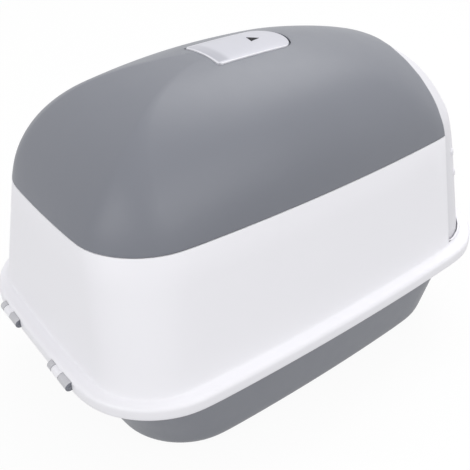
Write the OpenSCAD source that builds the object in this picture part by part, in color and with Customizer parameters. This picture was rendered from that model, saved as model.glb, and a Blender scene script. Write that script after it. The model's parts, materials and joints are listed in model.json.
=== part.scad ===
// Hooded litter box with an opening dome. Millimetres. The entry faces -Y, the hood hinge is at +Y,
// X is the width and Z is up. The origin is on the floor, below the centre of the box.

/* [Skirt of the hood] */
// Length over the skirt rim
skirt_l = 560; // [545:1:575]
// Width over the skirt rim
skirt_w = 364; // [356:1:372]
// Corner radius of the rim in plan
skirt_r = 89; // [80:1:95]
// Height of the skirt's lower edge above the floor
skirt_z = 117; // [112:1:122]
// Height of the upright band of the rim
band_h = 9; // [7:0.5:11]
// Radius of the rim's rolled shoulder
shoulder_r = 5; // [4:0.5:6]
// Width of the ledge between the rim and the wall
ledge_w = 15; // [13:0.5:17]
// Radius of the wall's rear corners where it meets the ledge
foot_r = 64; // [60:1:70]
// Share by which the long sides draw in at the ends
side_bow = 0.06; // [0.04:0.01:0.08]
// Share by which the ends draw in at the corners
end_bow = 0.024; // [0.015:0.001:0.03]

/* [Seam between hood and lid] */
// Height of the seam above the floor
seam_z = 269; // [262:1:276]
// Distance from the rim's side in to the seam
seam_side = 42.5; // [40:0.5:46]
// Distance from the rim's end in to the seam
seam_end = 35; // [32:0.5:38]
// Radius of the seam's rear corners in plan
seam_r = 70; // [64:1:76]
// Radius of the seam's front corners in plan
nose_r = 62; // [58:1:70]
// Rearward shift of the seam's centre
seam_y = 3; // [0:0.5:5]
// Share by which the seam's sides draw in at the ends
seam_bow = 0.09; // [0.07:0.01:0.11]
// Gap between the lid's edge and the hood's edge
seam_gap = 0.8; // [0.7:0.1:1.2]
// How far the nose stands forward of the seam's front end
nose_out = 11; // [8:1:13]

/* [Walls and clearances] */
// Wall of the hood, the nose and the lid
wall = 2.4; // [2.2:0.1:2.6]
// Wall of the tray
tray_wall = 2.8; // [2.5:0.1:3.2]
// Gap between fixed pieces that seat on each other
seat_gap = 0.3; // [0.25:0.05:0.4]
// Gap between the nose and the lid and hood that it runs under
panel_gap = 0.7; // [0.6:0.1:0.9]
// Gap beside moving pieces
side_gap = 0.5; // [0.4:0.1:0.8]
// Radial running clearance of the hinge pins
pin_gap = 0.08; // [0.05:0.01:0.1]

/* [Dome] */
// Height of the dome above the seam
dome_h = 112.8; // [108:0.2:116]
// Fullness of the dome's sides, 2 for an ellipse
side_full = 1.95; // [1.8:0.05:2.1]
// Rise exponent of the dome's sides
side_rise = 2.16; // [2:0.02:2.3]
// Fullness of the dome's rear
rear_full = 3.22; // [3:0.02:3.4]
// Rise exponent of the dome's rear
rear_rise = 1.17; // [1.1:0.01:1.3]
// Fullness of the dome's front
front_full = 2.15; // [2:0.05:2.3]
// Rise exponent of the dome's front
front_rise = 3.36; // [3.1:0.02:3.5]
// Rearward shift of the dome's top
top_back = 14; // [10:1:18]
// Share of their radius that the rear corners lose on the way up
hip_sharpen = 0.98; // [0.8:0.01:1]
// Share of their radius that the front corners gain on the way up
front_soften = 1.28; // [1:0.02:1.4]
// Share by which the bow of the sides grows on the way up
bow_grow = 3.2; // [2.8:0.1:3.4]

/* [Front of the lid] */
// Distance of the lid's front edge behind the seam's front end
lid_back = 61; // [58:1:64]
// Rearward lean of that edge for each millimetre of height
front_lean = 0.03; // [0:0.01:0.1]
// How far the nose's flange reaches under the lid and the hood
flange_in = 14; // [10:1:18]

/* [Tray] */
// Distance from the hood's rim in to the tray
tray_in = 17; // [15:0.5:19]
// Corner radius of the tray's rim
tray_r = 86; // [80:1:90]
// Distance from the tray's side in to the flat bottom
base_side = 45.5; // [42:0.5:49]
// Distance from the tray's end in to the flat bottom
base_end = 59; // [55:1:63]
// Forward shift of the flat bottom
base_y = 7; // [4:1:9]
// Corner radius of the flat bottom
base_r = 52; // [46:1:58]
// Radius between the bottom and the wall
base_round = 30; // [26:1:33]
// Width of the rim flange
flange_w = 7; // [5:0.5:8]
// Thickness of the rim flange
flange_t = 3; // [2.5:0.5:4]
// Height of the tray's rim
rim_z = 128; // [127:0.5:129]

/* [Hood hinge] */
// Distance of each hinge from the middle
hinge_x = 58; // [50:1:66]
// Radius of the lugs and the knuckle
lug_r = 5; // [4.5:0.5:5.5]
// Height of the hinge axis above the skirt's lower edge
hinge_up = 6; // [5.5:0.5:6]
// Length of the short lug
lug_short = 8; // [6:1:10]
// Length of the hood's knuckle
knuckle_l = 14; // [12:1:16]
// Length of the long lug
lug_long = 17; // [15:1:19]
// Radius of the hinge pin
pin_r = 2; // [1.5:0.25:2.25]
// How far the notch for the lugs cuts in from the rim
notch_in = 5.5; // [5:0.5:7]

/* [Lid hinge] */
// Distance of each swan-neck arm from the middle
arm_x = 60; // [50:1:66]
// Width of the arm
arm_w = 8; // [6:1:10]
// Depth of the lid's hinge axis below the seam
axis_down = 42; // [40:1:45]
// Distance of that axis in front of the seam's rear end
axis_in = 10; // [9:0.5:11]
// Inner radius of the arm's bend
neck_r = 45; // [44.5:0.5:48]
// Depth of the arm in its bend
neck_t = 9; // [7:0.5:10]
// Radius of the arm's hub and of the ears
hub_r = 6; // [5.5:0.5:6.5]
// Thickness of one ear
ear_t = 3; // [2.5:0.5:4]
// Radius of the lid's hinge pin
lid_pin_r = 2.5; // [2:0.25:3]

/* [Doorway] */
// Width of the flap door
door_w = 166; // [150:1:172]
// Height of the flap door
door_h = 124; // [110:1:126]
// Height of the door's lower edge
door_z = 154; // [152:1:158]
// Distance of the door behind the rim's front end
door_back = 52; // [48:1:56]
// Thickness of the door
door_t = 2.4; // [2:0.1:3]
// Corner radius of the door
door_r = 14; // [10:1:18]
// Gap between the door and its frame
door_gap = 1.5; // [1:0.1:2]
// Wall of the door frame
frame_t = 3; // [2.5:0.5:4]
// Width of the frame's rear flange
frame_lip = 6; // [4:1:8]
// How far the frame stands proud of the nose
frame_proud = 1.2; // [0.6:0.2:1.6]
// Depth of the door's axis below its top edge
door_axis = 18; // [18:0.5:20]
// Radius of the door's barrels
barrel_r = 4.5; // [4:0.5:5]
// Length of one door barrel
barrel_l = 22; // [18:1:28]

/* [Filter] */
// Width of the filter cover
cover_w = 60; // [56:1:64]
// Length of the filter cover
cover_l = 102; // [96:1:108]
// Depth of the cover's rounded front end
cover_round = 18; // [14:1:24]
// Distance from the middle back to the cover's rear edge
cover_rear = 59; // [55:1:63]
// How far the cover stands proud of the dome
cover_proud = 0.8; // [0.4:0.2:1.2]
// Thickness of the cover
cover_t = 3.1; // [3:0.1:3.4]
// Width of the recess round the cover's front end
finger_gap = 4; // [3:0.5:5]
// Depth of the filter holder below the dome's top
holder_d = 26; // [22:1:30]
// Width of the holder's seat under the cover and the lid
holder_rim = 4; // [3:0.5:5]
// Thickness of the charcoal pad
pad_t = 8; // [6:1:10]
// Width of one slot of the grille
slot_w = 5; // [4:0.5:6]
// Width of one bar of the grille
bar_w = 3; // [2.5:0.5:4]

/* [Front grip] */
// Length of the grip on the front rim
grip_l = 70; // [60:1:90]
// Thickness of the grip
grip_t = 3; // [2.5:0.5:4]

/* [Hidden] */

white = [0.91, 0.91, 0.93];
grey = [0.46, 0.47, 0.51];
clear = [0.92, 0.92, 0.95, 0.8];
steel = [0.75, 0.75, 0.77];
charcoal = [0.12, 0.12, 0.13];

// Points along one long side, one end and one corner of a plan outline
side_n = 8;
end_n = 3;
corner_n = 7;
dome_n = 12;
// Least radius of a plan corner
least_r = 12;
far = 400;
// How far a cut runs past what it cuts
past = 20;

seam_x = skirt_w / 2 - seam_side;
seam_half = skirt_l / 2 - seam_end;
tray_x = skirt_w / 2 - tray_in;
tray_half = skirt_l / 2 - tray_in;
front_y = seam_half - lid_back;
door_y = skirt_l / 2 - door_back;

// Plan sections hold half width, half length, rear and front corner radius, both bows, centre and
// the share by which the nose is drawn forward
rim_s = [skirt_w / 2, skirt_l / 2, skirt_r, skirt_r, side_bow, end_bow, 0, 0];
foot_s = [rim_s[0] - ledge_w, rim_s[1] - ledge_w, foot_r, skirt_r - ledge_w, side_bow, end_bow, 0, 0];
seam_s = [seam_x, seam_half, seam_r, nose_r, seam_bow, end_bow, seam_y, nose_out / lid_back];
base_s = [tray_x - base_side, tray_half - base_end, base_r, base_r, side_bow, end_bow, -base_y, 0];
tray_s = [tray_x, tray_half, tray_r, tray_r, side_bow, end_bow, 0, 0];

shoulder_z = skirt_z + band_h;
foot_z = shoulder_z + shoulder_r + 3;
rest_z = rim_z + seat_gap;
panel_z = foot_z + 2;
edge_z = seam_z - seam_gap;
panel_in = wall + panel_gap;

hinge_y = skirt_l / 2;
hinge_z = skirt_z + hinge_up;
hinge_l = lug_short + knuckle_l + lug_long + 2 * side_gap;

seam_rear = seam_y + seam_half;
axis_y = seam_rear - axis_in;
axis_z = seam_z - axis_down;

pivot_z = door_z + door_h - door_axis;
cover_mid = cover_rear - cover_l / 2;
cover_front = cover_rear - cover_l;
dome_top = seam_z + dome_h;
holder_z = dome_top - holder_d;

function inset(s, d) = [s[0] - d, s[1] - d, max(s[2] - d, least_r), max(s[3] - d, least_r),
  s[4], s[5], s[6], s[7]];
function blend(a, b, t) = a * (1 - t) + b * t;

function turn(cx, cy, r, a0) =
  [for (i = [0:corner_n - 1]) let (a = a0 + 90 * i / corner_n) [cx + r * cos(a), cy + r * sin(a)]];
function run(x0, y0, x1, y1, n) =
  [for (i = [0:n - 1]) let (t = i / n) [x0 + (x1 - x0) * t, y0 + (y1 - y0) * t]];

// A rounded rectangle whose sides draw in towards the corners, anticlockwise from above
function outline(s) =
  let (w = s[0], l = s[1], r = s[2], a = w - r, b = l - r, f = s[3], c = w - f, e = l - f,
    raw = concat(run(w, -e, w, b, side_n), turn(a, b, r, 0), run(a, l, -a, l, end_n),
      turn(-a, b, r, 90), run(-w, b, -w, -e, side_n), turn(-c, -e, f, 180),
      run(-c, -l, c, -l, end_n), turn(c, -e, f, 270)))
  [for (p = raw) [p.x * (1 - s[4] * pow(p.y / l, 2)), p.y * (1 - s[5] * pow(p.x / w, 2))]];

function drawn(y, share) = y - share * max(-front_y - y, 0);
function ring(s, z) = [for (p = outline(s)) [p.x, drawn(p.y + s[6], s[7]), z]];
function wall_s(z) = blend(foot_s, seam_s, (z - foot_z) / (seam_z - foot_z));

// The dome shrinks the seam's outline along rounded profiles as it rises, while its rear corners
// sharpen into hips and its front corners soften
function shrink(q, full, rise) = pow(max(1 - pow(q, rise), 0), 1 / full);
function by_side(q) = shrink(q, side_full, side_rise);
function by_end(q, y) = y < 0 ? shrink(q, front_full, front_rise) : shrink(q, rear_full, rear_rise);
function dome_s(q, d) =
  inset([seam_s[0], seam_s[1], seam_r * (1 - hip_sharpen * q),
    min(nose_r * (1 + front_soften * q), 0.94 * seam_s[0]), seam_bow * (1 + bow_grow * q), end_bow,
    seam_y + top_back * q, seam_s[7]], d);
function dome_ring(q, d) =
  let (s = dome_s(q, d))
  [for (p = outline(s))
    [p.x * by_side(q), drawn(p.y * by_end(q, p.y) + s[6], s[7]), seam_z + (dome_h - d) * q]];
function dome_level(i) = i == dome_n ? 0.9995 : sin(90 * i / dome_n);
function dome_rings(d) = [for (i = [0:dome_n]) dome_ring(dome_level(i), d)];

// Height of the dome, inset by d, above a place near its top, by halving
function corner_x(s, r, y) = let (e = max(abs(y) - s[1] + r, 0)) s[0] - r + sqrt(max(r * r - e * e, 0));
function side_x(s, y) = corner_x(s, y < 0 ? s[3] : s[2], y) * (1 - s[4] * pow(y / s[1], 2));
function under_dome(x, y, q, d) =
  let (s = dome_s(q, d), dy = y - s[6], k = by_end(q, dy))
  abs(dy) < s[1] * k && abs(x) < side_x(s, dy / k) * by_side(q);
function dome_q(x, y, d, lo = 0, hi = 1, n = 18) =
  n == 0 ? lo : let (m = (lo + hi) / 2)
  under_dome(x, y, m, d) ? dome_q(x, y, d, m, hi, n - 1) : dome_q(x, y, d, lo, m, n - 1);
function dome_z(x, y, d) = seam_z + (dome_h - d) * dome_q(x, y, d);

function flat(list) = [for (a = list) for (b = a) b];
function band(i, k, n) =
  [for (j = [0:n - 1]) let (e = (j + 1) % n) each [[i * n + j, k * n + j, k * n + e], [i * n + j, k * n + e, i * n + e]]];

// A solid through a stack of rings, closed by its first and last ring
module loft(rings) {
  n = len(rings[0]);
  m = len(rings);
  sides = flat([for (i = [0:m - 2]) band(i, i + 1, n)]);
  first = [for (j = [0:n - 1]) j];
  last = [for (j = [n - 1:-1:0]) (m - 1) * n + j];
  polyhedron(flat(rings), concat(sides, [first, last]), convexity = 8);
}

// A wall that goes up its outer rings and comes back down its inner ones
module loop_loft(rings) {
  n = len(rings[0]);
  m = len(rings);
  polyhedron(flat(rings), flat([for (i = [0:m - 1]) band(i, (i + 1) % m, n)]), convexity = 8);
}

// A curved plate: its rings are narrow strips, each closed by a row of quads
module strip_loft(rings) {
  n = len(rings[0]);
  m = len(rings);
  sides = flat([for (i = [0:m - 2]) band(i, i + 1, n)]);
  first = [for (j = [0:n / 2 - 2]) [j, j + 1, n - 2 - j, n - 1 - j]];
  last = [for (q = first) [for (k = [3:-1:0]) q[k] + (m - 1) * n]];
  polyhedron(flat(rings), concat(sides, first, last), convexity = 4);
}

module dome_shell(outer, inner) {
  in_rings = dome_rings(inner);
  loft(concat([for (i = [dome_n:-1:0]) in_rings[i]], dome_rings(outer)));
}

// A profile drawn in Y and Z, given a thickness along X about the middle
module across(t) {
  rotate([90, 0, 90]) linear_extrude(t, center = true) children();
}

// A profile drawn in X and Z, standing from y0 to y1
module upright(y0, y1) {
  translate([0, y1, 0]) rotate([90, 0, 0]) linear_extrude(y1 - y0) children();
}

// Everything in front of the lid's leaning front plane, above z0
module ahead(shift, z0) {
  y_at = function(z) -front_y + shift + front_lean * (z - seam_z);
  across(far * 2)
    polygon([[-far, z0], [y_at(z0), z0], [y_at(far), far], [-far, far]]);
}

module rounded(w, h, r) {
  square([w - 2 * r, h], center = true);
  square([w, h - 2 * r], center = true);
  for (x = [-1, 1], y = [-1, 1])
    translate([x * (w / 2 - r), y * (h / 2 - r)]) circle(r, $fn = 48);
}

module rod(r, l, y, z) {
  translate([0, y, z]) rotate([0, 90, 0]) cylinder(l, r, r, center = true, $fn = 48);
}

// Tray: flat bottom, round foot, leaning wall and a flange that the hood rests on
module tray_body() {
  inner_round = base_round - tray_wall;
  outer_foot = [for (a = [0:22.5:90]) ring(inset(base_s, -base_round * sin(a)), base_round * (1 - cos(a)))];
  inner_foot = [for (a = [90:-22.5:0])
    ring(inset(base_s, -inner_round * sin(a)), tray_wall + inner_round * (1 - cos(a)))];
  flange_s = inset(tray_s, -flange_w);
  loft(concat(outer_foot,
    [ring(tray_s, rim_z - flange_t), ring(flange_s, rim_z - flange_t), ring(flange_s, rim_z),
      ring(inset(tray_s, tray_wall), rim_z)],
    inner_foot));
}

module lug(l) {
  root = tray_half - tray_wall / 2;
  across(l) {
    translate([hinge_y, hinge_z]) circle(lug_r, $fn = 48);
    translate([root, hinge_z - lug_r]) square([hinge_y - root, rim_z - hinge_z + lug_r]);
  }
}

// The short lug is on the +X side of each hinge, then the hood's knuckle, then the long lug
short_x = (hinge_l - lug_short) / 2;
long_x = -(hinge_l - lug_long) / 2;
knuckle_x = short_x - lug_short / 2 - side_gap - knuckle_l / 2;

module tray() {
  color(grey) difference() {
    union() {
      tray_body();
      for (x = [-hinge_x, hinge_x]) {
        translate([x + short_x, 0, 0]) lug(lug_short);
        translate([x + long_x, 0, 0]) lug(lug_long);
      }
    }
    for (x = [-hinge_x, hinge_x])
      translate([x, 0, 0]) rod(pin_r, hinge_l + 2, hinge_y, hinge_z);
  }
}

module hood_hinge_pins() {
  color(grey) for (x = [-hinge_x, hinge_x])
    translate([x, 0, 0]) rod(pin_r, hinge_l - 1, hinge_y, hinge_z);
}

// Hood: skirt band, rolled shoulder, ledge and tapering wall up to the seam
module hood_wall() {
  shoulder = [for (a = [0:30:90])
    ring(inset(rim_s, shoulder_r * (1 - cos(a))), shoulder_z + shoulder_r * sin(a))];
  outer = concat([ring(rim_s, skirt_z)], shoulder,
    [ring(inset(foot_s, -3), foot_z - 2), ring(inset(foot_s, -0.8), foot_z - 0.8),
      ring(wall_s(foot_z + 1), foot_z + 1), ring(wall_s(edge_z), edge_z)]);
  inner = [ring(inset(wall_s(edge_z), wall), edge_z), ring(inset(foot_s, wall), foot_z),
    ring(inset(foot_s, wall), rest_z), ring(inset(rim_s, wall), rest_z), ring(inset(rim_s, wall), skirt_z)];
  loop_loft(concat(outer, inner));
}

// Ears on the hood's rear wall that hold the lid's hinge pins
module ear() {
  inner_rear = wall_s(axis_z)[1] + wall_s(axis_z)[6] - wall;
  across(ear_t) {
    translate([axis_y, axis_z]) circle(hub_r, $fn = 48);
    translate([axis_y, axis_z - hub_r]) square([inner_rear - axis_y, 2 * hub_r]);
  }
}

ear_x = arm_w / 2 + side_gap + ear_t / 2;

module hood_shell() {
  cut_w = [lug_short + 2 * side_gap, lug_long + 2 * side_gap];
  color(white) difference() {
    union() {
      difference() {
        hood_wall();
        ahead(0, panel_z);
        for (x = [-hinge_x, hinge_x], k = [0, 1])
          translate([x + (k == 0 ? short_x : long_x) - cut_w[k] / 2, hinge_y - notch_in, skirt_z - 1])
            cube([cut_w[k], 2 * notch_in, rest_z - skirt_z + 1]);
      }
      for (x = [-hinge_x, hinge_x])
        translate([x + knuckle_x, 0, 0]) rod(lug_r, knuckle_l, hinge_y, hinge_z);
      for (x = [-arm_x, arm_x], k = [-1, 1])
        translate([x + k * ear_x, 0, 0]) ear();
      translate([-grip_l / 2, -hinge_y - lug_r, skirt_z])
        cube([grip_l, lug_r + wall, grip_t]);
    }
    for (x = [-hinge_x, hinge_x])
      translate([x, 0, 0]) rod(pin_r + pin_gap, hinge_l, hinge_y, hinge_z);
    for (x = [-arm_x, arm_x])
      translate([x, 0, 0]) rod(lid_pin_r, 2 * ear_x + 2 * ear_t, axis_y, axis_z);
  }
}

// Nose: the front of the body, set in by one wall, with a flange under the lid and the hood
module nose(d) {
  low = panel_z - 4;
  rings = concat([ring(inset(foot_s, d), low)], dome_rings(d));
  loft(rings);
}

module door_outline(grow) {
  translate([0, door_z + door_h / 2]) rounded(door_w + 2 * grow, door_h + 2 * grow, door_r + grow);
}

module front_panel() {
  low = panel_z - 4;
  in_rings = concat([ring(inset(foot_s, panel_in + wall), low)], dome_rings(panel_in + wall));
  out_rings = concat([ring(inset(foot_s, panel_in), low)], dome_rings(panel_in));
  m = len(in_rings);
  color(white) difference() {
    intersection() {
      loft(concat([for (i = [m - 1:-1:0]) in_rings[i]], out_rings));
      ahead(flange_in, 0);
    }
    upright(-far, -door_y + past) door_outline(door_gap + frame_t + seat_gap);
  }
}

module door_frame() {
  back = -door_y + door_t / 2 + 5;
  color(white) difference() {
    union() {
      intersection() {
        upright(-far, back) door_outline(door_gap + frame_t);
        nose(panel_in - frame_proud);
      }
      upright(back - 2, back) door_outline(door_gap + frame_t + frame_lip);
    }
    upright(-far, back + 1) door_outline(door_gap);
    rod(pin_r + pin_gap, door_w + 2 * past, -door_y, pivot_z);
  }
}

module flap_door() {
  barrel_x = door_w / 2 - barrel_l / 2;
  color(clear) difference() {
    union() {
      upright(-door_y - door_t / 2, -door_y + door_t / 2) door_outline(0);
      for (x = [-barrel_x, barrel_x])
        translate([x, 0, 0]) rod(barrel_r, barrel_l, -door_y, pivot_z);
    }
    for (x = [-barrel_x, barrel_x])
      translate([x, 0, 0]) rod(pin_r, barrel_l + 2, -door_y, pivot_z);
  }
}

module door_pins() {
  pin_l = barrel_l - 2 + door_gap + frame_t;
  color(steel) for (x = [-1, 1])
    translate([x * (door_w / 2 - barrel_l + 2 + pin_l / 2), 0, 0]) rod(pin_r, pin_l, -door_y, pivot_z);
}

// The arm bends over the hood's rear edge, so that the lid opens with its hinge hidden inside
module swan_neck() {
  outer_r = neck_r + neck_t;
  reach = far / 2;
  translate([0, axis_y, axis_z]) across(arm_w) difference() {
    union() {
      intersection() {
        difference() {
          circle(outer_r, $fn = 96);
          circle(neck_r, $fn = 96);
        }
        polygon([[0, 0], [0, -hub_r], [-reach, -hub_r], [-reach, reach], [axis_in - wall - 1, reach],
          [axis_in - wall - 1, 0]]);
      }
      translate([-outer_r + neck_t / 2, -hub_r]) square([outer_r - neck_t / 2, 2 * hub_r - 2]);
      circle(hub_r, $fn = 48);
    }
    circle(lid_pin_r + pin_gap, $fn = 48);
  }
}

// The cover has a straight rear edge and a rounded front end
module cover_shape(grow, front_grow) {
  w = cover_w + 2 * grow;
  bend_y = cover_front + cover_round;
  translate([-w / 2, bend_y]) square([w, cover_rear + grow - bend_y]);
  translate([0, bend_y]) scale([w / 2, cover_round + front_grow]) circle(1, $fn = 72);
}

module dome_lid() {
  color(grey) union() {
    difference() {
      dome_shell(0, wall);
      ahead(seat_gap, 0);
      translate([0, 0, holder_z]) linear_extrude(far) cover_shape(side_gap, finger_gap);
    }
    intersection() {
      nose(wall / 2);
      for (x = [-arm_x, arm_x])
        translate([x, 0, 0]) swan_neck();
    }
  }
}

module lid_hinge_pins() {
  color(steel) for (x = [-arm_x, arm_x])
    translate([x, 0, 0]) rod(lid_pin_r, 2 * ear_x + ear_t, axis_y, axis_z);
}

module filter_holder() {
  pitch = slot_w + bar_w;
  count = floor((cover_l - 2 * holder_rim - cover_round) / pitch);
  floor_t = wall;
  color(grey) difference() {
    intersection() {
      translate([0, 0, holder_z]) linear_extrude(holder_d) cover_shape(holder_rim, holder_rim + finger_gap);
      loft(dome_rings(wall + seat_gap));
    }
    translate([0, 0, holder_z + floor_t]) linear_extrude(holder_d) cover_shape(-holder_rim, -holder_rim);
    for (i = [0:count - 1])
      translate([-cover_w / 2 + 2 * holder_rim, cover_rear - 2 * holder_rim - i * pitch - slot_w, holder_z - 1])
        cube([cover_w - 4 * holder_rim, slot_w, floor_t + 2]);
  }
}

module filter_pad() {
  grow = -holder_rim - side_gap;
  color(charcoal) translate([0, 0, holder_z + wall + seat_gap])
    linear_extrude(pad_t) cover_shape(grow, grow);
}

// The cover follows the dome: each station across it is a closed strip of points
module filter_cover() {
  stations = 20;
  half_n = 5;
  r = cover_w / 2;
  straight = cover_l - cover_round;
  y_of = function(t) t < 0.5 ? cover_rear - 2 * t * straight
    : cover_rear - straight - cover_round * sin(180 * (t - 0.5) * 0.96);
  w_of = function(t) t < 0.5 ? r : r * cos(180 * (t - 0.5) * 0.96);
  strip = function(t, d) [for (j = [half_n:-1:-half_n])
    let (x = w_of(t) * j / half_n) [x, y_of(t), dome_z(x, y_of(t), 0) + d]];
  rings = [for (i = [0:stations]) let (t = i / stations)
    concat(strip(t, cover_proud), [for (j = [2 * half_n:-1:0]) strip(t, cover_proud - cover_t)[j]])];
  color(clear) strip_loft(rings);
}

tray();
hood_hinge_pins();
hood_shell();
front_panel();
door_frame();
flap_door();
door_pins();
dome_lid();
lid_hinge_pins();
filter_holder();
filter_pad();
filter_cover();
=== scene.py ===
# Hooded litter box: looks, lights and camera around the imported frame. Metres throughout.
import json
import math

import bpy
from mathutils import Matrix, Vector


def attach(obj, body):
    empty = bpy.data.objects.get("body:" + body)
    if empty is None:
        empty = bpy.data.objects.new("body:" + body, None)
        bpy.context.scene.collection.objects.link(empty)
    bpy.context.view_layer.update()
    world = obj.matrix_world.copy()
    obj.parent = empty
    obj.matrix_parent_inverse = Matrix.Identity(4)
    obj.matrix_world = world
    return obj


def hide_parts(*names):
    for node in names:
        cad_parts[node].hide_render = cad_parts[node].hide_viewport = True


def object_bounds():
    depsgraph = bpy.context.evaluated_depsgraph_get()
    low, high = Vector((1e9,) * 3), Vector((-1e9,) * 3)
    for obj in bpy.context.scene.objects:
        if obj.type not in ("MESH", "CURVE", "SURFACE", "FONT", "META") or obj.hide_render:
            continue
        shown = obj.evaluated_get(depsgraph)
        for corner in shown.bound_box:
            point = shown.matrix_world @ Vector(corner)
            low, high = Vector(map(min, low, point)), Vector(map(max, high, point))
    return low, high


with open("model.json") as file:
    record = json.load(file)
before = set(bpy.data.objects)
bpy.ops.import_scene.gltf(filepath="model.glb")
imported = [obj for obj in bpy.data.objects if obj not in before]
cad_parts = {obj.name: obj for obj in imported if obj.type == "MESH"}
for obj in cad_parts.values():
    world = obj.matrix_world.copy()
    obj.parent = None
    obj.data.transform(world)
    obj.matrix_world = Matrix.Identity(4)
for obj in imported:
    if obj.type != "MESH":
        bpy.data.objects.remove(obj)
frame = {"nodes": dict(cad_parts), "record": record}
nodes = frame["nodes"]
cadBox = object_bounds()
bodyOf = {name: body for body, names in frame["record"]["behaviour"]["bodies"].items() for name in names}
slotOf = {part["node"]: part["material_slot"] for part in frame["record"]["subparts"]}
print("frame loaded:", len(nodes), "nodes")

# camera fitted to the photograph's outlines, taken as 470 x 470
cameraSet = {
    "place": (-0.5430, 0.4420, 0.6160),
    "yaw": -38.05,
    "pitch": 34.2,
    "roll": -0.17,
    "focalPixels": 689.0,
    "imagePixels": 470.0,
    "sensor": 36.0,
}

lightSet = {
    "world": 0.68,
    "aim": (0.0, 0.0, 0.2),
    "lamps": {
        "overheadLamp": {"place": (0.4, -1.0, 2.0), "size": 1.4, "power": 19.0},
        "rearLamp": {"place": (-0.4, 1.9, 1.0), "size": 1.3, "power": 9.5},
        "sideLamp": {"place": (-1.6, 0.0, 1.2), "size": 1.2, "power": 7.5},
    },
}

floorSet = {"size": 12.0, "shade": 0.5, "seenShade": 0.92, "glow": 0.93}


# a node socket that can be used in sums
class Value:
    def __init__(self, tree, socket):
        self.tree = tree
        self.socket = socket

    def maths(self, operation, other=None, swap=False):
        first, second = (other, self) if swap else (self, other)
        node = self.tree.nodes.new("ShaderNodeMath")
        node.operation = operation
        for index, item in enumerate((first, second)):
            if isinstance(item, Value):
                self.tree.links.new(item.socket, node.inputs[index])
            elif item is not None:
                node.inputs[index].default_value = item
        return Value(self.tree, node.outputs[0])

    def __add__(self, other):
        return self.maths("ADD", other)

    __radd__ = __add__

    def __mul__(self, other):
        return self.maths("MULTIPLY", other)

    __rmul__ = __mul__

    def __sub__(self, other):
        return self.maths("SUBTRACT", other)

    def __rsub__(self, other):
        return self.maths("SUBTRACT", other, swap=True)

    def __gt__(self, other):
        return self.maths("GREATER_THAN", other)

    def __lt__(self, other):
        return self.maths("LESS_THAN", other)

    def size(self):
        return self.maths("ABSOLUTE")

    def ramp(self, start, end):
        node = self.tree.nodes.new("ShaderNodeMapRange")
        node.interpolation_type = "SMOOTHSTEP"
        for index, item in enumerate((self, start, end)):
            if isinstance(item, Value):
                self.tree.links.new(item.socket, node.inputs[index])
            else:
                node.inputs[index].default_value = item
        return Value(self.tree, node.outputs[0])

    # spreads values about the middle, then clamps them
    def contrast(self, gain):
        return (self * gain - (gain - 1) / 2).clamp()

    def clamp(self):
        node = self.tree.nodes.new("ShaderNodeClamp")
        self.tree.links.new(self.socket, node.inputs[0])
        return Value(self.tree, node.outputs[0])


# a material with its shader, and one method that adds any node
class Finish:
    def __init__(self, name):
        self.material = bpy.data.materials.new(name)
        self.material.use_nodes = True
        self.tree = self.material.node_tree
        self.shader = self.tree.nodes["Principled BSDF"]

    def add(self, kind, settings=None, inputs=None, output=0):
        node = self.tree.nodes.new(kind)
        for key, value in (settings or {}).items():
            setattr(node, key, value)
        for key, value in (inputs or {}).items():
            if isinstance(value, Value):
                self.tree.links.new(value.socket, node.inputs[key])
            else:
                node.inputs[key].default_value = value
        return Value(self.tree, node.outputs[output])

    def place(self):
        return self.add("ShaderNodeTexCoord", output=3)

    def axes(self, vector):
        return [self.add("ShaderNodeSeparateXYZ", inputs={0: vector}, output=index) for index in range(3)]

    def noise(self, scale, detail=2.0, roughness=0.5):
        return self.add("ShaderNodeTexNoise", inputs={
            "Vector": self.place(), "Scale": scale, "Detail": detail, "Roughness": roughness})

    def mix(self, factor, first, second):
        return self.add("ShaderNodeMix", {"data_type": "RGBA"}, {0: factor, 6: first, 7: second}, 2)

    # 0 on the flats, up to 1 on rounded-off edges
    def edges(self, radius, gain=5.0, samples=6):
        soft = self.add("ShaderNodeBevel", {"samples": samples}, {"Radius": radius})
        sharp = self.add("ShaderNodeNewGeometry", output=1)
        match = self.add("ShaderNodeVectorMath", {"operation": "DOT_PRODUCT"}, {0: soft, 1: sharp}, 1)
        return ((1 - match) * gain).clamp(), soft

    def feed(self, socketName, value):
        self.tree.links.new(value.socket, self.shader.inputs[socketName])

    def fix(self, **numbers):
        for key, value in numbers.items():
            self.shader.inputs[key.replace("_", " ")].default_value = value

    def bump(self, height, distance, strength=1.0, over=None):
        inputs = {"Strength": strength, "Distance": distance, "Height": height}
        if over is not None:
            inputs["Normal"] = over
        return self.add("ShaderNodeBump", inputs=inputs)


def colour(red, green, blue):
    return (red, green, blue, 1.0)


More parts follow.
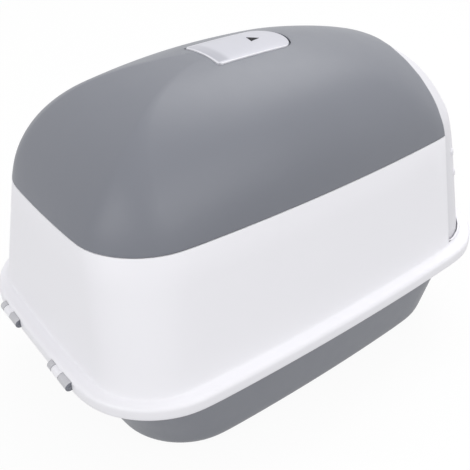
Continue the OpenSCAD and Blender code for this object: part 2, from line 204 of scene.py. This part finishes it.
# moulded plastic: faint mottling, a fine spark-eroded grain, and edges that are rounded and paler, partly
# from wear and partly as a painted highlight.
# The nose is a darker copy of the white plastic: painted shade, as the nose faces away from the light.
plasticSet = {
    "grey": {"base": (0.182, 0.191, 0.221), "tint": (0.194, 0.203, 0.234), "wornHighlitTone": (0.25, 0.26, 0.29),
             "grain": 0.6, "rough": 0.42},
    "white": {"base": (0.86, 0.855, 0.895), "tint": (0.875, 0.87, 0.91), "wornHighlitTone": (0.93, 0.93, 0.95),
              "grain": 0.25, "rough": 0.4},
    # painted shade: the nose's white is made darker than the hood's
    "nose": {"base": (0.735, 0.73, 0.77), "tint": (0.755, 0.75, 0.79), "wornHighlitTone": (0.86, 0.86, 0.89),
             "grain": 0.25, "rough": 0.46},
    "specular": 0.45,
    "roughSpread": 0.08,
    "mottleContrast": 1.4,
    "wearHighlightLevel": 0.45,
    "wearHighlightCloud": 0.5,
    "lugHighlightLevel": 0.8,
    "lugHighlightCloud": 0.3,
    "lugHighlightEdgeCut": 2.0,
    "mottleScale": 9.0,
    "cloudScale": 55.0,
    "waveScale": 16.0,
    "waveHeight": 0.0004,
    "waveStrength": 0.25,
    "grainScale": 2600.0,
    "grainHeight": 0.00006,
    "edge": 0.0008,
    "lugHighlightGrey": (0.58, 0.58, 0.61),  # painted highlight on the lugs of the rear hinges
    "lugStart": 0.2705,  # lugs lie behind this, and below lugTop
    "lugTop": 0.1285,
    "lugFacing": 0.5,  # faces turned further to the side than this get no painted highlight
}


def mouldedPlastic(name, base, tint, wornHighlitTone, grain, rough, lugs=False):
    finish = Finish(name)
    mottle = finish.noise(plasticSet["mottleScale"], 3.0)
    cloud = finish.noise(plasticSet["cloudScale"], 2.0)
    wearHighlightMask, soft = finish.edges(plasticSet["edge"])
    body = finish.mix(mottle.contrast(plasticSet["mottleContrast"]), colour(*base), colour(*tint))
    if lugs:
        across, along, height = finish.axes(finish.place())
        facing = finish.axes(finish.add("ShaderNodeTexCoord", output=1))[0].size()
        # painted highlight: lug faces that are not turned to the side are painted a paler grey
        onLugs = (along > plasticSet["lugStart"]) * (height < plasticSet["lugTop"])
        lugHighlight = onLugs * (facing < plasticSet["lugFacing"]) * (1 - wearHighlightMask * plasticSet["lugHighlightEdgeCut"]).clamp()
        lugHighlight = lugHighlight * (plasticSet["lugHighlightLevel"] + cloud * plasticSet["lugHighlightCloud"])
        body = finish.mix(lugHighlight, body, colour(*plasticSet["lugHighlightGrey"]))
        wearHighlightMask = wearHighlightMask * (1 - onLugs)
    # edges painted paler: partly wear, partly a painted highlight
    paledByWearAndHighlight = wearHighlightMask * (plasticSet["wearHighlightLevel"] + cloud * plasticSet["wearHighlightCloud"])
    finish.feed("Base Color", finish.mix(paledByWearAndHighlight, body, colour(*wornHighlitTone)))
    spread = plasticSet["roughSpread"]
    finish.feed("Roughness", cloud * spread + (rough - spread / 2))
    fine = finish.noise(plasticSet["grainScale"], 2.0, 0.6)
    wave = finish.noise(plasticSet["waveScale"], 1.0)
    waved = finish.bump(wave, plasticSet["waveHeight"], plasticSet["waveStrength"], soft)
    finish.feed("Normal", finish.bump(fine, plasticSet["grainHeight"], grain, waved))
    finish.fix(Specular_IOR_Level=plasticSet["specular"])
    return finish


greyPlastic = mouldedPlastic("greyPlastic", lugs=True, **plasticSet["grey"])
whitePlastic = mouldedPlastic("whitePlastic", **plasticSet["white"])
# a darker copy of the white plastic: painted shade on the nose
shadedNosePlastic = mouldedPlastic("shadedNosePlastic", **plasticSet["nose"])

# the milky cover shows the edge of the basket below it as a greyer band
milkySet = {
    "base": (0.61, 0.615, 0.675),
    "tint": (0.65, 0.65, 0.71),
    "band": (0.40, 0.405, 0.455),
    "rim": (0.88, 0.88, 0.93),
    "bandAt": (0.044, 0.0564),
    "bandSoft": (0.004, 0.0008),
    "bandSide": 0.0262,
    "bandMiddleLevel": 1.15,
    "bandFade": 12.0,  # the band fades towards the cover's +X side
    "bandStrength": 0.9,
    "rimStrength": 0.7,
    "wearHighlightStrength": 0.5,
    "rimSide": 0.0284,
    "rimRear": 0.0574,
    "coverHeight": 0.34,  # only the cover lies above this, and the flap below it
    "rough": 0.3,
    "roughSpread": 0.1,
    "cloudContrast": 1.6,
    "cloudScale": 40.0,
    "grainScale": 900.0,
    "grainHeight": 0.00005,
    "grainStrength": 0.4,
    "edge": 0.0007,
    "alpha": 0.86,
    "specular": 0.5,
}


def milkyPlastic():
    finish = Finish("milkyPlastic")
    cloud = finish.noise(milkySet["cloudScale"], 3.0)
    wearHighlightMask, soft = finish.edges(milkySet["edge"])
    across, along, height = finish.axes(finish.place())
    side = across.size()
    start, end = milkySet["bandAt"]
    startBlur, endBlur = milkySet["bandSoft"]
    band = along.ramp(start - startBlur, start + startBlur) * along.ramp(end + endBlur, end - endBlur)
    fade = (milkySet["bandMiddleLevel"] - across * milkySet["bandFade"]).ramp(0.0, 2.0)
    band = band * (side < milkySet["bandSide"]) * fade
    rim = ((side > milkySet["rimSide"]) + (along > milkySet["rimRear"])).clamp()
    onCover = height > milkySet["coverHeight"]
    blotch = cloud.contrast(milkySet["cloudContrast"])
    body = finish.mix(blotch, colour(*milkySet["base"]), colour(*milkySet["tint"]))
    body = finish.mix(band * onCover * milkySet["bandStrength"], body, colour(*milkySet["band"]))
    # the rim is paler, and the edges are painted paler, partly from wear and partly as a painted highlight
    pale = (rim * onCover * milkySet["rimStrength"] + wearHighlightMask * milkySet["wearHighlightStrength"]).clamp()
    body = finish.mix(pale, body, colour(*milkySet["rim"]))
    finish.feed("Base Color", body)
    finish.feed("Roughness", cloud * milkySet["roughSpread"] + milkySet["rough"])
    grain = finish.noise(milkySet["grainScale"])
    finish.feed("Normal", finish.bump(grain, milkySet["grainHeight"], milkySet["grainStrength"], soft))
    finish.fix(Alpha=milkySet["alpha"], Specular_IOR_Level=milkySet["specular"])
    return finish


steelSet = {"dark": (0.48, 0.48, 0.50), "light": (0.62, 0.62, 0.64), "streakScale": 700.0, "rough": 0.22,
            "roughSpread": 0.2}


def pinSteel():
    finish = Finish("pinSteel")
    streak = finish.noise(steelSet["streakScale"], 3.0)
    finish.feed("Base Color", finish.mix(streak, colour(*steelSet["dark"]), colour(*steelSet["light"])))
    finish.feed("Roughness", streak * steelSet["roughSpread"] + steelSet["rough"])
    finish.fix(Metallic=1.0)
    return finish


feltSet = {
    "deep": (0.012, 0.012, 0.013),
    "fibre": (0.045, 0.045, 0.048),
    "clump": (0.07, 0.07, 0.073),
    "fibreScale": 420.0,
    "fibreHeight": 0.0008,
    "fibreStrength": 0.9,
    "clumpScale": 90.0,
    "clumpStrength": 0.5,
}


def charcoalFelt():
    finish = Finish("charcoalFelt")
    fibre = finish.noise(feltSet["fibreScale"], 4.0, 0.7)
    clump = finish.noise(feltSet["clumpScale"], 3.0)
    grey = finish.mix(fibre, colour(*feltSet["deep"]), colour(*feltSet["fibre"]))
    finish.feed("Base Color", finish.mix(clump * feltSet["clumpStrength"], grey, colour(*feltSet["clump"])))
    finish.feed("Normal", finish.bump(fibre, feltSet["fibreHeight"], feltSet["fibreStrength"]))
    finish.fix(Roughness=0.95, Specular_IOR_Level=0.2)
    return finish


# the arrow is printed on the cover in thick dark ink
inkSet = {
    "dark": (0.012, 0.012, 0.015),
    "light": (0.03, 0.03, 0.034),
    "speckScale": 1500.0,
    "speckHeight": 0.00003,
    "speckStrength": 0.5,
    "rough": 0.6,
    "roughSpread": 0.2,
}


def arrowInk():
    finish = Finish("arrowInk")
    speck = finish.noise(inkSet["speckScale"], 3.0)
    finish.feed("Base Color", finish.mix(speck, colour(*inkSet["dark"]), colour(*inkSet["light"])))
    finish.feed("Roughness", speck * inkSet["roughSpread"] + inkSet["rough"])
    finish.feed("Normal", finish.bump(speck, inkSet["speckHeight"], inkSet["speckStrength"]))
    finish.fix(Specular_IOR_Level=0.12)
    return finish


finishes = {
    "grey_plastic": greyPlastic,
    "white_plastic": whitePlastic,
    "milky_plastic": milkyPlastic(),
    "pin_steel": pinSteel(),
    "charcoal_felt": charcoalFelt(),
}
ink = arrowInk()
print("finishes done")


def dress(piece, finish):
    piece.data.materials.clear()
    piece.data.materials.append(finish.material)


def selectOnly(piece):
    bpy.ops.object.select_all(action="DESELECT")
    piece.select_set(True)
    bpy.context.view_layer.objects.active = piece


def settle(piece, name, body, slot, finish=None):
    piece.name = name
    selectOnly(piece)
    bpy.ops.object.transform_apply(location=True, rotation=True, scale=True)
    dress(piece, finish or finishes[slot])
    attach(piece, body)
    return piece


def applyModifier(piece, kind, **settings):
    selectOnly(piece)
    modifier = piece.modifiers.new(kind.lower(), kind)
    for key, value in settings.items():
        setattr(modifier, key, value)
    bpy.ops.object.modifier_apply(modifier=modifier.name)


# a merged copy of a CAD node, free of the node's own marks
def mergedCopy(nodeName):
    selectOnly(nodes[nodeName])
    bpy.ops.object.duplicate()
    piece = bpy.context.view_layer.objects.active
    for key in list(piece.keys()):
        if key.startswith("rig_"):
            del piece[key]
    piece.parent = None
    bpy.ops.object.mode_set(mode="EDIT")
    bpy.ops.mesh.select_all(action="SELECT")
    bpy.ops.mesh.remove_doubles(threshold=shellSet["mergeDistance"])
    bpy.ops.mesh.tris_convert_to_quads(face_threshold=0.02, shape_threshold=1.2)
    bpy.ops.object.mode_set(mode="OBJECT")
    if piece.data.has_custom_normals:
        bpy.ops.mesh.customdata_custom_splitnormals_clear()
    return piece


# a merged copy with smooth curves and rounded edges stands for each moulded shell
shellSet = {
    "mergeDistance": 0.00001,
    "angle": 24.0,
    "pieces": {
        "tray": "trayShell",
        "hood_shell": "hoodShell",
        "front_panel": "nosePanel",
        "door_frame": "doorSurround",
        "flap_door": "flapSheet",
        "dome_lid": "domeShell",
        "filter_holder": "filterBasket",
        "filter_cover": "filterHatch",
    },
    "levels": {"tray": 2, "hood_shell": 2, "front_panel": 2, "dome_lid": 2},
    "creaseAngle": 45.0,
    "rounded": {
        "tray": 0.0006,
        "hood_shell": 0.0008,
        "front_panel": 0.0003,
        "dome_lid": 0.0011,
        "door_frame": 0.0005,
        "flap_door": 0.0006,
        "filter_cover": 0.0005,
    },
    "roundedFrom": 50.0,  # only edges sharper than this are rounded
    "ownFinish": {"front_panel": shadedNosePlastic},
    "cutCorner": 0.0042,
    "cornerReach": 0.0015,
    "uprightSlope": 3.0,
}


# the cover's two rear corners are cut off at 45 degrees
def cutCorners(piece):
    rear = max(vertex.co.y for vertex in piece.data.vertices)
    bpy.ops.object.mode_set(mode="EDIT")
    bpy.ops.mesh.select_mode(type="EDGE")
    bpy.ops.mesh.select_all(action="DESELECT")
    bpy.ops.object.mode_set(mode="OBJECT")
    places = [vertex.co for vertex in piece.data.vertices]
    side = max(abs(place.x) for place in places)
    found = 0
    for edge in piece.data.edges:
        first, second = (places[index] for index in edge.vertices)
        flat = math.hypot(first.x - second.x, first.y - second.y)
        upright = abs(first.z - second.z) > shellSet["uprightSlope"] * flat
        atRear = min(first.y, second.y) > rear - shellSet["cornerReach"]
        atSide = min(abs(first.x), abs(second.x)) > side - shellSet["cornerReach"]
        edge.select = upright and atRear and atSide
        found += edge.select
    bpy.ops.object.mode_set(mode="EDIT")
    bpy.ops.mesh.bevel(offset=shellSet["cutCorner"], segments=1)
    bpy.ops.object.mode_set(mode="OBJECT")
    print("cover corners cut:", found)


def smoothShell(nodeName, pieceName):
    piece = mergedCopy(nodeName)
    levels = shellSet["levels"].get(nodeName)
    if levels:
        bpy.ops.object.mode_set(mode="EDIT")
        bpy.ops.mesh.select_mode(type="EDGE")
        bpy.ops.mesh.select_all(action="DESELECT")
        bpy.ops.mesh.edges_select_sharp(sharpness=math.radians(shellSet["creaseAngle"]))
        bpy.ops.transform.edge_crease(value=1.0)
        bpy.ops.object.mode_set(mode="OBJECT")
        applyModifier(piece, "SUBSURF", levels=levels, render_levels=levels)
    if nodeName == "filter_cover":
        cutCorners(piece)
    radius = shellSet["rounded"].get(nodeName)
    if radius:
        applyModifier(piece, "BEVEL", width=radius, segments=2, limit_method="ANGLE",
                      angle_limit=math.radians(shellSet["roundedFrom"]))
    selectOnly(piece)
    bpy.ops.object.shade_smooth_by_angle(angle=math.radians(shellSet["angle"]))
    settle(piece, pieceName, bodyOf[nodeName], slotOf[nodeName], shellSet["ownFinish"].get(nodeName))
    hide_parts(nodeName)
    return piece


shells = {name: smoothShell(name, pieceName) for name, pieceName in shellSet["pieces"].items()}
for nodeName, node in nodes.items():
    if nodeName not in shells:
        dress(node, finishes[slotOf[nodeName]])
print("shells done:", len(shells))


# the charcoal pad is a block of needled felt: remeshed, softened at its edges and slightly lumpy
padSet = {"voxel": 0.0014, "smooth": 0.5, "rounds": 5, "lump": 0.0005, "lumpSize": 0.012}


def makePad():
    piece = mergedCopy("filter_pad")
    applyModifier(piece, "REMESH", mode="VOXEL", voxel_size=padSet["voxel"])
    applyModifier(piece, "SMOOTH", factor=padSet["smooth"], iterations=padSet["rounds"])
    clouds = bpy.data.textures.new("feltLumps", "CLOUDS")
    clouds.noise_scale = padSet["lumpSize"]
    applyModifier(piece, "DISPLACE", texture=clouds, strength=padSet["lump"], mid_level=1.0)
    selectOnly(piece)
    bpy.ops.object.shade_smooth()
    settle(piece, "charcoalPad", bodyOf["filter_pad"], slotOf["filter_pad"])
    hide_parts("filter_pad")


makePad()
print("pad done")


# the first point of a shell that a ray meets, and its normal
def surfaceAt(shell, start, direction):
    hit, place, normal, face = shell.ray_cast(Vector(start), Vector(direction))
    if not hit:
        raise RuntimeError("the ray misses " + shell.name)
    return place, normal


# arrow on the cover: a triangle pointing to the doorway, laid on the curved cover
arrowSet = {"centre": (0.0021, -0.0080), "radius": 0.0082, "turn": -15.5, "thick": 0.00022, "sink": 0.00012,
            "cuts": 5, "startAbove": 0.01}


def makeArrow():
    x, y = arrowSet["centre"]
    above = cadBox[1][2] + arrowSet["startAbove"]
    bpy.ops.object.select_all(action="DESELECT")
    bpy.ops.mesh.primitive_circle_add(vertices=3, radius=arrowSet["radius"], fill_type="NGON",
                                      location=(x, y, above))
    piece = bpy.context.active_object
    tip = min(piece.data.vertices, key=lambda vertex: abs(vertex.co.x)).co
    piece.rotation_euler.z = math.radians(arrowSet["turn"]) + (math.pi if tip.y > 0 else 0)
    bpy.ops.object.mode_set(mode="EDIT")
    bpy.ops.mesh.select_all(action="SELECT")
    bpy.ops.mesh.subdivide(number_cuts=arrowSet["cuts"])
    bpy.ops.object.mode_set(mode="OBJECT")
    bpy.ops.object.transform_apply(location=True, rotation=True, scale=True)
    applyModifier(piece, "SHRINKWRAP", target=shells["filter_cover"], wrap_method="PROJECT",
                  use_project_x=False, use_project_y=False, use_project_z=True,
                  use_negative_direction=True, use_positive_direction=False,
                  offset=-arrowSet["sink"])
    applyModifier(piece, "SOLIDIFY", thickness=arrowSet["thick"], offset=1.0)
    settle(piece, "coverArrow", bodyOf["filter_cover"], slotOf["filter_cover"], ink)


makeArrow()


# two small bosses on each side of the nose, near the doorway
bossSet = {"places": ((-0.215, 0.2365), (-0.222, 0.2085)), "radius": 0.0042, "height": 0.0014,
           "sink": 0.0018, "taper": 0.0007, "round": 0.0005, "startSide": 0.3, "startAhead": 0.03,
           "aimRearward": 0.18}


def makeBoss(name, y, z, side):
    shell = shells["front_panel"]
    start = (side * bossSet["startSide"], y - bossSet["startAhead"], z)
    place, normal = surfaceAt(shell, start, (-side, bossSet["aimRearward"], 0.0))
    height = bossSet["height"] + bossSet["sink"]
    middle = place + normal * (height / 2 - bossSet["sink"])
    bpy.ops.object.select_all(action="DESELECT")
    bpy.ops.mesh.primitive_cylinder_add(vertices=32, radius=bossSet["radius"], depth=height, location=middle,
                                        rotation=normal.to_track_quat("Z", "Y").to_euler())
    piece = bpy.context.active_object
    bpy.ops.object.mode_set(mode="EDIT")
    bpy.ops.mesh.select_mode(type="FACE")
    bpy.ops.mesh.select_all(action="DESELECT")
    bpy.ops.object.mode_set(mode="OBJECT")
    for face in piece.data.polygons:
        face.select = face.normal.z > 0.9
    bpy.ops.object.mode_set(mode="EDIT")
    bpy.ops.mesh.inset(thickness=bossSet["taper"])
    bpy.ops.mesh.extrude_region_move(TRANSFORM_OT_translate={"value": normal * (bossSet["taper"] * 0.5)})
    bpy.ops.object.mode_set(mode="OBJECT")
    applyModifier(piece, "BEVEL", width=bossSet["round"], segments=3, limit_method="ANGLE",
                  angle_limit=math.radians(25))
    selectOnly(piece)
    bpy.ops.object.shade_smooth_by_angle(angle=math.radians(40))
    settle(piece, name, bodyOf["front_panel"], slotOf["front_panel"])


for number, (y, z) in enumerate(bossSet["places"], 1):
    for sideName, side in (("Left", -1), ("Right", 1)):
        makeBoss("noseBoss" + sideName + str(number), y, z, side)
print("arrow and bosses done")


def addFloor():
    bpy.ops.mesh.primitive_plane_add(size=floorSet["size"], location=(0, 0, 0))
    floor = bpy.context.active_object
    floor.name = "studioFloor"
    finish = Finish("floorPaper")
    tree = finish.tree
    rays = tree.nodes.new("ShaderNodeLightPath")
    seen = Value(tree, rays.outputs["Is Camera Ray"])
    glossy = Value(tree, rays.outputs["Is Glossy Ray"])
    through = Value(tree, rays.outputs["Is Transmission Ray"])
    seenFloor = (seen + glossy + through).clamp()
    shades = [colour(level, level, level) for level in (floorSet["shade"], floorSet["seenShade"])]
    finish.feed("Base Color", finish.mix(seenFloor, *shades))
    finish.fix(Roughness=0.9, Specular_IOR_Level=0.1)
    glow = tree.nodes.new("ShaderNodeEmission")
    glow.inputs["Color"].default_value = colour(1, 1, 1)
    blend = tree.nodes.new("ShaderNodeMixShader")
    tree.links.new((seenFloor * floorSet["glow"]).socket, blend.inputs[0])
    tree.links.new(finish.shader.outputs[0], blend.inputs[1])
    tree.links.new(glow.outputs[0], blend.inputs[2])
    tree.links.new(blend.outputs[0], tree.nodes["Material Output"].inputs["Surface"])
    dress(floor, finish)


def addWorld():
    world = bpy.data.worlds.new("studioWorld")
    bpy.context.scene.world = world
    world.use_nodes = True
    tree = world.node_tree
    tree.nodes.clear()
    rays = tree.nodes.new("ShaderNodeLightPath")
    seen = Value(tree, rays.outputs["Is Camera Ray"])
    glossy = Value(tree, rays.outputs["Is Glossy Ray"])
    through = Value(tree, rays.outputs["Is Transmission Ray"])
    white = (seen + glossy + through).clamp()
    backdrop = tree.nodes.new("ShaderNodeBackground")
    backdrop.inputs["Color"].default_value = colour(1, 1, 1)
    strength = white * (1 - lightSet["world"]) + lightSet["world"]
    tree.links.new(strength.socket, backdrop.inputs["Strength"])
    output = tree.nodes.new("ShaderNodeOutputWorld")
    tree.links.new(backdrop.outputs[0], output.inputs["Surface"])


def addLamp(name, place, size, power):
    bpy.ops.object.light_add(type="AREA", location=place)
    lamp = bpy.context.active_object
    lamp.name = name
    lamp.data.size = size
    lamp.data.energy = power
    aim = Vector(lightSet["aim"]) - Vector(place)
    lamp.rotation_euler = aim.to_track_quat("-Z", "Y").to_euler()


def addCamera():
    yaw, pitch, roll = (math.radians(cameraSet[key]) for key in ("yaw", "pitch", "roll"))
    look = Vector((math.cos(yaw) * math.cos(pitch), math.sin(yaw) * math.cos(pitch), -math.sin(pitch)))
    right = look.cross(Vector((0, 0, 1))).normalized()
    up = right.cross(look)
    turnedRight = right * math.cos(roll) + up * math.sin(roll)
    turnedUp = up * math.cos(roll) - right * math.sin(roll)
    matrix = Matrix((turnedRight, turnedUp, -look)).transposed().to_4x4()
    matrix.translation = Vector(cameraSet["place"])
    bpy.ops.object.camera_add()
    camera = bpy.context.active_object
    camera.matrix_world = matrix
    camera.data.sensor_width = cameraSet["sensor"]
    camera.data.lens = cameraSet["sensor"] * cameraSet["focalPixels"] / cameraSet["imagePixels"]
    camera.data.clip_end = 50
    bpy.context.scene.camera = camera


bpy.ops.object.select_all(action="DESELECT")
addFloor()
addWorld()
for lampName, lamp in lightSet["lamps"].items():
    addLamp(lampName, **lamp)
addCamera()
bpy.context.scene.view_settings.view_transform = "Standard"
print("floor, lights and camera done")
